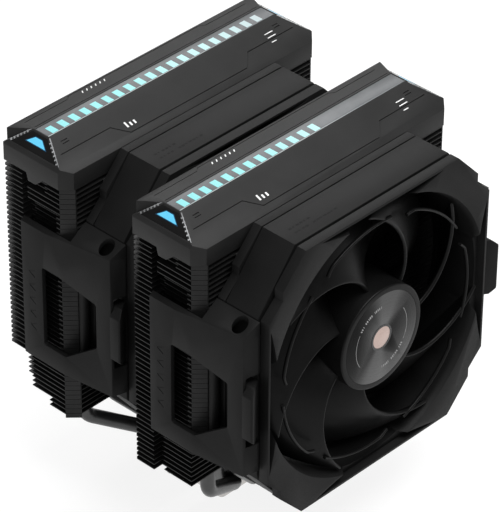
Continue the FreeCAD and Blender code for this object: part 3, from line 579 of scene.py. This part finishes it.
def slope_z(y):
    """Height of the cover's roof at a distance y behind its front face."""
    if y < RIDGE_NEAR:
        return RIM_Z + (RIDGE_Z - RIM_Z) * y / RIDGE_NEAR
    return RIDGE_Z - DECK_DROP * max(0, (y - RIDGE_FAR) / (DECK_FAR - RIDGE_FAR))


def on_roof(x, y, tower):
    return Vector((x, COVER_Y[tower] + y, slope_z(y)))


def groove_line(points, tower):
    tools = []
    for (x0, y0), (x1, y1) in zip(points, points[1:]):
        start = on_roof(x0 * MM, y0 * MM, tower)
        end = on_roof(x1 * MM, y1 * MM, tower)
        over = (end - start).normalized() * GROOVE / 2
        tools.append(block(start - over, end + over, GROOVE, GROOVE_BLOCK))
    return tools


FRONT_LINE = [(-62, 8.6), (-37, 8.6), (-31.3, 3.2), (31.3, 3.2), (37, 8.6), (62, 8.6)]
REAR_LINE = [(-59, 31.4), (-37, 31.4), (-35, 33.2), (35, 33.2), (37, 31.4), (59, 31.4)]
RIDGE_LINE = [(-59.5, 25.35), (59.5, 25.35)]
VENTS = [(-56.5, 13.0), (-56.5, 11.9), (56.5, 13.0), (56.5, 11.9)]

for tower in ("front", "rear"):
    node = tower + "_top_cover"
    cover = copy_node(node)
    bevel(cover, COVER_EDGE, 2, 18)
    tools = groove_line(FRONT_LINE, tower) + groove_line(REAR_LINE, tower)
    for x, y in VENTS:
        tools += groove_line([(x - VENT_HALF, y), (x + VENT_HALF, y)], tower)
    tools += groove_line(RIDGE_LINE, tower)
    cut(cover, tools)
    smooth(cover, 30)
    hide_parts(node)
    settle(cover, "root", "cover_plastic", COVER_BLACK)
    print(tower, "cover faces:", len(cover.data.polygons))

# %% [markdown]
# ## Light bars
# A smoked bar fills the slot along each ridge. Small tiles sit in it like keys, lit from
# below. A thin strip along its front carries a painted highlight, the glint of the clear
# edge. Only lit tiles are made: they fill nearly the whole rear bar, and about two thirds
# of the front one.

# %% Bars, tiles and painted edge highlights
TILE_PITCH = 5.75 * MM
TILE_WIDTH = 3.0 * MM
TILE_DEPTH = 4.5 * MM
TILE_THICK = 0.42 * MM
FIRST_TILE = 2.7 * MM
TILE_GAP = 0.5 * MM
LIT = {"front": 13, "rear": 20}
LIGHT_HEIGHT = 3.0 * MM
LIGHT_SUNK = 0.10 * MM
EDGE_DROP = 0.3 * MM
for tower in ("front", "rear"):
    y0 = COVER_Y[tower]
    half = bar_high.x
    middle = y0 + (BAR_NEAR + BAR_FAR) / 2
    z = RIDGE_Z - LIGHT_SUNK - LIGHT_HEIGHT / 2
    start = Vector((-half, middle, z))
    end = Vector((half, middle, z))
    bar = block(start, end, BAR_FAR - BAR_NEAR, LIGHT_HEIGHT)
    bevel(bar, 0.25 * MM)
    smooth(bar)
    bar.name = tower + "_light_bar"
    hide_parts(tower + "_light_diffuser")
    settle(bar, "root", "light_plastic", BAR_SMOKE)
    tiles = []
    y = y0 + BAR_NEAR + TILE_GAP + TILE_DEPTH / 2
    z = RIDGE_Z - 0.25 * MM
    for k in range(LIT[tower]):
        x = -half + FIRST_TILE + TILE_PITCH * k
        start = Vector((x, y, z))
        end = start + Vector((TILE_WIDTH, 0, 0))
        tiles.append(block(start, end, TILE_DEPTH, TILE_THICK))
    lit = join(tiles, tower + "_light_tiles")
    bevel(lit, 0.12 * MM)
    settle(lit, "root", "light_plastic", TILE_GLOW)
    # A painted highlight along the front edge of the bar, drawn as a thin emissive strip.
    y = y0 + BAR_NEAR + 0.05 * MM
    start = Vector((-half, y, RIDGE_Z - EDGE_DROP))
    end = Vector((half, y, RIDGE_Z - EDGE_DROP))
    rim = block(start, end, 0.5 * MM, 0.56 * MM)
    bevel(rim, 0.1 * MM)
    rim.name = tower + "_painted_highlight_edge"
    settle(rim, "root", "light_plastic", PAINTED_EDGE_HIGHLIGHT)

# %% [markdown]
# ## Hip ends
# Each end of a roof has a gloss black panel with a lit blue window. Clear bars with small
# notches run down both hips. The window is a copy of the measured lens: its outer face is
# inset, so that a dark rim is left round the lit middle.

# %% Panels, windows and clear hip bars
def inset_top(piece, normal, width):
    """Insets the faces that look along normal, and gives the middle the second finish."""
    pick(piece)
    bpy.ops.object.mode_set(mode="EDIT")
    bpy.ops.mesh.select_all(action="DESELECT")
    bpy.ops.object.mode_set(mode="OBJECT")
    for face in piece.data.polygons:
        flat = Vector((abs(face.normal.x), face.normal.y, face.normal.z))
        face.select = flat.dot(normal) > 0.98
    bpy.ops.object.mode_set(mode="EDIT")
    bpy.ops.mesh.select_mode(type="FACE")
    bpy.ops.mesh.inset(thickness=width, use_individual=True)
    piece.active_material_index = 1
    bpy.ops.object.material_slot_assign()
    bpy.ops.object.mode_set(mode="OBJECT")


HIP_NORMAL = Vector((HIP_DROP, 0, HIP_RUN)).normalized()
LENS_RIM_WIDTH = 0.30 * MM
HIP_BAR_RUN = 6.6 * MM
HIP_BAR_FALL = 4.9 * MM
HIP_BAR_ENDS = ((RIDGE_NEAR, RIDGE_NEAR * 0.30), (RIDGE_FAR, RIDGE_FAR + 6.4 * MM))
HIP_BAR_WIDTH = 0.9 * MM
HIP_BAR_SUNK = 0.36 * MM
HIP_BAR_START = 0.05
NOTCH_COUNT = 7
NOTCH_LONG = 0.7 * MM
for tower in ("front", "rear"):
    node = tower + "_end_panels"
    panels = copy_node(node)
    bevel(panels, 0.12 * MM)
    smooth(panels)
    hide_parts(node)
    settle(panels, "root", "panel_plastic", PANEL_GLOSS)
    node = tower + "_end_lenses"
    lenses = copy_node(node)
    settle(lenses, "root", "lens_plastic", LENS_RIM, LENS_GLOW)
    inset_top(lenses, HIP_NORMAL, LENS_RIM_WIDTH)
    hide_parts(node)
    bars = []
    for sign in (-1, 1):
        up = Vector((sign * HIP_NORMAL.x, 0, HIP_NORMAL.z))
        for near, far in HIP_BAR_ENDS:
            start = Vector((sign * RIDGE_HALF, COVER_Y[tower] + near, RIDGE_Z))
            end = Vector((sign * (RIDGE_HALF + HIP_BAR_RUN), COVER_Y[tower] + far,
                          RIDGE_Z - HIP_BAR_FALL))
            start = start.lerp(end, HIP_BAR_START) - up * HIP_BAR_SUNK
            end -= up * HIP_BAR_SUNK
            bars.append(block(start, end, HIP_BAR_WIDTH, 0.6 * MM, up))
            for k in range(1, NOTCH_COUNT):
                here = start.lerp(end, k / NOTCH_COUNT)
                there = here + (end - start).normalized() * NOTCH_LONG
                bars.append(block(here, there, 1.05 * MM, 0.72 * MM, up))
    clear = join(bars, tower + "_hip_bars")
    bevel(clear, 0.08 * MM)
    settle(clear, "root", "light_plastic", CLEAR_EDGE)

# %% [markdown]
# ## Printed marks on the covers
# Small white marks sit on the front slope near each end, and a slanted row of dashes on the
# rear half. They are plain bars with no letters in them.

# %% White bars
PRINT_THICK = 0.08 * MM


def roof_bar(x0, y0, x1, y1, tower, width):
    start = on_roof(x0 * MM, y0 * MM, tower)
    end = on_roof(x1 * MM, y1 * MM, tower)
    return block(start, end, width, PRINT_THICK)


for tower in ("front", "rear"):
    marks = []
    for k in range(3):
        x = -30.5 + 2.0 * k
        marks.append(roof_bar(x, 5.4, x, 7.0 + 0.8 * (k == 0), tower, 0.8 * MM))
    for y, length in ((11.4, 4.4), (9.6, 4.4), (7.4, 2.6)):
        marks.append(roof_bar(49.0, y, 49.0 + length, y, tower, 0.7 * MM))
    for k in range(6):
        marks.append(roof_bar(-30 + 2.3 * k, 30.4, -29 + 2.3 * k, 31.8, tower, 0.45 * MM))
    printed = join(marks, tower + "_printed_marks")
    settle(printed, "root", "cover_plastic", PRINT_WHITE)

# %% [markdown]
# ## Fan rotors
# A rotor is a shallow cup with seven long swept blades. One blade starts as a flat grid.
# A formula turns each point about the axle: its leading edge sweeps forwards towards the
# tip, and its surface falls back from the leading edge. Solidify gives it an even wall, and
# a bevel rounds the wall's rim. Six turned copies make the rest, and a curved finger runs
# round beside each tip.

# %% One blade
HUB_RADIUS = 22.0
TIP_RADIUS = 56.3
BLADE_COUNT = 7
SWEEP = 45.5
ROWS = 22
COLUMNS = 18
BLADE_WALL = 1.5 * MM


def leading_angle(radius):
    share = (radius - HUB_RADIUS) / (TIP_RADIUS - HUB_RADIUS)
    return SWEEP * math.copysign(abs(share) ** 1.25, share)


def chord_angle(radius):
    share = max(0.0, (radius - HUB_RADIUS) / (TIP_RADIUS - HUB_RADIUS))
    full = 28.0 + 24.0 * math.sin(math.pi / 2 * min(1.0, share * 1.6))
    claw = max(0.0, (share - 0.86) / 0.14)
    return full * (1 - 0.42 * claw ** 1.6)


def blade_place(u, v, fan_y):
    """A point on the blade: u from hub to tip, v from leading to trailing edge."""
    radius = HUB_RADIUS - 1.2 + u * (TIP_RADIUS - HUB_RADIUS + 1.2)
    share = max(0.0, (radius - HUB_RADIUS) / (TIP_RADIUS - HUB_RADIUS))
    angle = math.radians(leading_angle(radius) - v * chord_angle(radius))
    front = 2.6 - 1.4 * share
    back = 16.8 + 2.2 * share
    depth = front + (back - front) * v ** 0.9
    return Vector((radius * math.cos(angle) * MM, fan_y + depth * MM,
                   AXIS_Z + radius * math.sin(angle) * MM))


def turned(piece, degrees, fan_y):
    copy = piece.copy()
    copy.data = piece.data.copy()
    bpy.context.scene.collection.objects.link(copy)
    centre = Matrix.Translation((0, fan_y, AXIS_Z))
    turn = Matrix.Rotation(math.radians(degrees), 4, "Y")
    copy.data.transform(centre @ turn @ centre.inverted())
    return copy


def shape_grid(rows, columns, place):
    """A grid primitive whose points go where place(u, v) says."""
    bpy.ops.object.select_all(action="DESELECT")
    bpy.ops.mesh.primitive_grid_add(x_subdivisions=rows, y_subdivisions=columns, size=1)
    piece = bpy.context.active_object
    for vertex in piece.data.vertices:
        vertex.co = place(vertex.co.x + 0.5, vertex.co.y + 0.5)
    return piece


def make_blade(fan_y):
    piece = shape_grid(ROWS, COLUMNS, lambda u, v: blade_place(u, v, fan_y))
    apply_modifier(piece, "SOLIDIFY", thickness=BLADE_WALL, offset=0, use_even_offset=True)
    bevel(piece, 0.5 * MM, 3, 50)
    face_outwards(piece)
    smooth(piece, 50)
    return piece


# %% Fingers between the tips
FINGER_INNER = 50.4
FINGER_SPAN = 41.0


def make_finger(fan_y):
    start = leading_angle(FINGER_INNER) - 4

    def place(u, v):
        angle = math.radians(start + FINGER_SPAN * u)
        jog = 1.6 * max(0.0, (u - 0.90) / 0.10)
        lip = math.radians(360 * v)
        radius = FINGER_INNER + 0.6 - jog + 0.6 * math.cos(lip)
        depth = 1.6 + 0.8 * math.sin(lip)
        return Vector((radius * math.cos(angle) * MM, fan_y + depth * MM,
                       AXIS_Z + radius * math.sin(angle) * MM))

    piece = shape_grid(28, 12, place)
    pick(piece)
    bpy.ops.object.mode_set(mode="EDIT")
    bpy.ops.mesh.select_all(action="SELECT")
    bpy.ops.mesh.remove_doubles(threshold=0.01 * MM)
    bpy.ops.mesh.fill_holes(sides=0)
    bpy.ops.object.mode_set(mode="OBJECT")
    face_outwards(piece)
    smooth(piece, 50)
    return piece


# %% Hub cup
HUB_PROUD = 1.0
HUB_DEEP = 20.0 * MM
HUB_RINGS = ((-1, 1.75, 0.62), (1, 0.8, 12.0))


def make_hub(fan_y):
    front = fan_y - HUB_PROUD * MM
    depth = HUB_DEEP
    bpy.ops.object.select_all(action="DESELECT")
    bpy.ops.mesh.primitive_cylinder_add(vertices=128, radius=HUB_RADIUS * MM, depth=depth)
    hub = bpy.context.active_object
    turn = Matrix.Rotation(math.radians(90), 4, "X")
    hub.matrix_world = Matrix.Translation((0, front + depth / 2, AXIS_Z)) @ turn
    bpy.ops.object.transform_apply(location=True, rotation=True, scale=True)
    bevel(hub, 0.7 * MM, 3, 60)
    for way, rim, sink in HUB_RINGS:
        pick(hub)
        bpy.ops.object.mode_set(mode="EDIT")
        bpy.ops.mesh.select_all(action="DESELECT")
        bpy.ops.object.mode_set(mode="OBJECT")
        for face in hub.data.polygons:
            face.select = face.normal.y * way > 0.99 and len(face.vertices) > 20
        bpy.ops.object.mode_set(mode="EDIT")
        bpy.ops.mesh.inset(thickness=rim * MM)
        bpy.ops.mesh.extrude_region_move(
            TRANSFORM_OT_translate={"value": (0, -way * sink * MM, 0)})
        bpy.ops.object.mode_set(mode="OBJECT")
    smooth(hub, 30)
    return hub


# %% Rotors
for word in ("front", "middle"):
    fan_y = FAN_Y[word]
    blade = make_blade(fan_y)
    finger = make_finger(fan_y)
    parts = [make_hub(fan_y), blade, finger]
    for k in range(1, BLADE_COUNT):
        for shape in (blade, finger):
            parts.append(turned(shape, 360.0 * k / BLADE_COUNT, fan_y))
    rotor = join(parts, word + "_rotor_shown")
    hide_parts(word + "_fan_rotor")
    settle(rotor, FAN_BODY[word], "blade_plastic", BLADE_BLACK)
    print(word, "rotor faces:", len(rotor.data.polygons))

# %% [markdown]
# ## Hub disc and badge
# The disc is a turned metal plate with a rounded rim. Two fine arcs and two rows of plain
# ticks are printed on it. A small copper badge with a dark ring sits at its centre.

# %% Discs, ticks and badges
DISC_EDGE = 0.15 * MM
TICK_THICK = 0.06
TICK_COUNT = 15
TICK_SKIP = (5, 11)
TICK_STEP = 3.6
BAND_THICK = 0.10


def ring_arc(inner, outer, start, stop, fan_y, thick, steps=40):
    """A flat curved strip round the axle, on the front of the hub disc."""
    def place(u, v):
        angle = math.radians(start + (stop - start) * u)
        radius = inner + (outer - inner) * v
        return Vector((radius * math.cos(angle) * MM, fan_y - HUB_PROUD * MM,
                       AXIS_Z + radius * math.sin(angle) * MM))

    piece = shape_grid(steps, 1, place)
    apply_modifier(piece, "SOLIDIFY", thickness=thick * MM, offset=0)
    face_outwards(piece)
    return piece


for word in ("front", "middle"):
    fan_y = FAN_Y[word]
    dress(word + "_hub_disc", DISC_EDGE, DISC_METAL, "disc_metal")
    dress(word + "_hub_badge", DISC_EDGE, COPPER, "badge_copper")
    lines = [ring_arc(13.9, 14.1, 150, 213, fan_y, TICK_THICK),
             ring_arc(13.9, 14.1, -30, 33, fan_y, TICK_THICK)]
    for first in (92, 272):
        for k in range(TICK_COUNT):
            if k in TICK_SKIP:
                continue
            angle = first + TICK_STEP * k
            width = 2.2 if k % 4 else 1.2
            lines.append(ring_arc(13.5, 14.6, angle, angle + width, fan_y, TICK_THICK, 2))
    ticks = join(lines, word + "_disc_ticks")
    settle(ticks, FAN_BODY[word], "disc_metal", PRINT_GREY)
    band = ring_arc(4.6, 5.5, 0, 360, fan_y, BAND_THICK, 64)
    band.name = word + "_badge_ring"
    settle(band, FAN_BODY[word], "badge_copper", DARK_RING)

# %% [markdown]
# ## Studio
# A pale floor and large soft lights. The camera stands high at the left front, with a long
# lens, so the parallel edges of the cooler stay nearly parallel.

# %% Floor, lights and camera
FLOOR_GLOW = 0.86
SKY_GLOW = 0.30
bpy.ops.object.select_all(action="DESELECT")
bpy.ops.mesh.primitive_plane_add(size=12)
floor = bpy.context.active_object
floor.name = "floor"
white, tree, shader, place = new_material("floor_white")
shader.inputs["Base Color"].default_value = (0.18, 0.18, 0.18, 1)
shader.inputs["Roughness"].default_value = 0.9
shader.inputs["Specular IOR Level"].default_value = 0.0
shader.inputs["Emission Color"].default_value = (1, 1, 1, 1)
shader.inputs["Emission Strength"].default_value = FLOOR_GLOW
floor.data.materials.append(white)
floor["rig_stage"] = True

world = bpy.data.worlds.new("studio")
bpy.context.scene.world = world
world.use_nodes = True
world.node_tree.nodes["Background"].inputs["Color"].default_value = (1, 1, 1, 1)
world.node_tree.nodes["Background"].inputs["Strength"].default_value = SKY_GLOW

CENTRE = (cad_low + cad_high) / 2


def soft_light(name, azimuth, elevation, distance, size, power):
    a, e = math.radians(azimuth), math.radians(elevation)
    back = Vector((math.sin(a) * math.cos(e), -math.cos(a) * math.cos(e), math.sin(e)))
    data = bpy.data.lights.new(name, "AREA")
    data.energy = power
    data.size = size
    lamp = bpy.data.objects.new(name, data)
    bpy.context.scene.collection.objects.link(lamp)
    lamp.location = CENTRE + back * distance
    lamp.rotation_mode = "QUATERNION"
    lamp.rotation_quaternion = (-back).to_track_quat("-Z", "Y")


soft_light("overhead", 10, 75, 1.2, 0.9, 21)
soft_light("back_right", 135, 38, 1.4, 0.9, 8)
soft_light("front_left", 300, 35, 1.4, 0.6, 2)

TARGET = Vector((-0.577, -12.987, 98.692)) * MM
CAMERA_AT = Vector((-822.44, -797.40, 909.15)) * MM
CAMERA_ROLL = math.radians(0.44)
CAMERA_LENS = 256.9
camera = bpy.data.objects.new("camera", bpy.data.cameras.new("camera"))
bpy.context.scene.collection.objects.link(camera)
camera.location = CAMERA_AT
camera.rotation_mode = "QUATERNION"
look = (TARGET - CAMERA_AT).to_track_quat("-Z", "Y")
roll = Matrix.Rotation(CAMERA_ROLL, 3, "Z").to_quaternion()
camera.rotation_quaternion = look @ roll
camera.data.sensor_width = 36
camera.data.lens = CAMERA_LENS
camera.data.clip_start = 0.05
camera.data.clip_end = 30
bpy.context.scene.camera = camera
bpy.context.scene.view_settings.view_transform = "Standard"

# %% [markdown]
# ## Boxes
# The box of the finished looks is printed, as the box of the measured parts was near the
# top, so that the two can be compared.

# %% Print the finished box
low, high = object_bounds()
print("shown box in mm:", [round(x / MM, 1) for x in high - low])
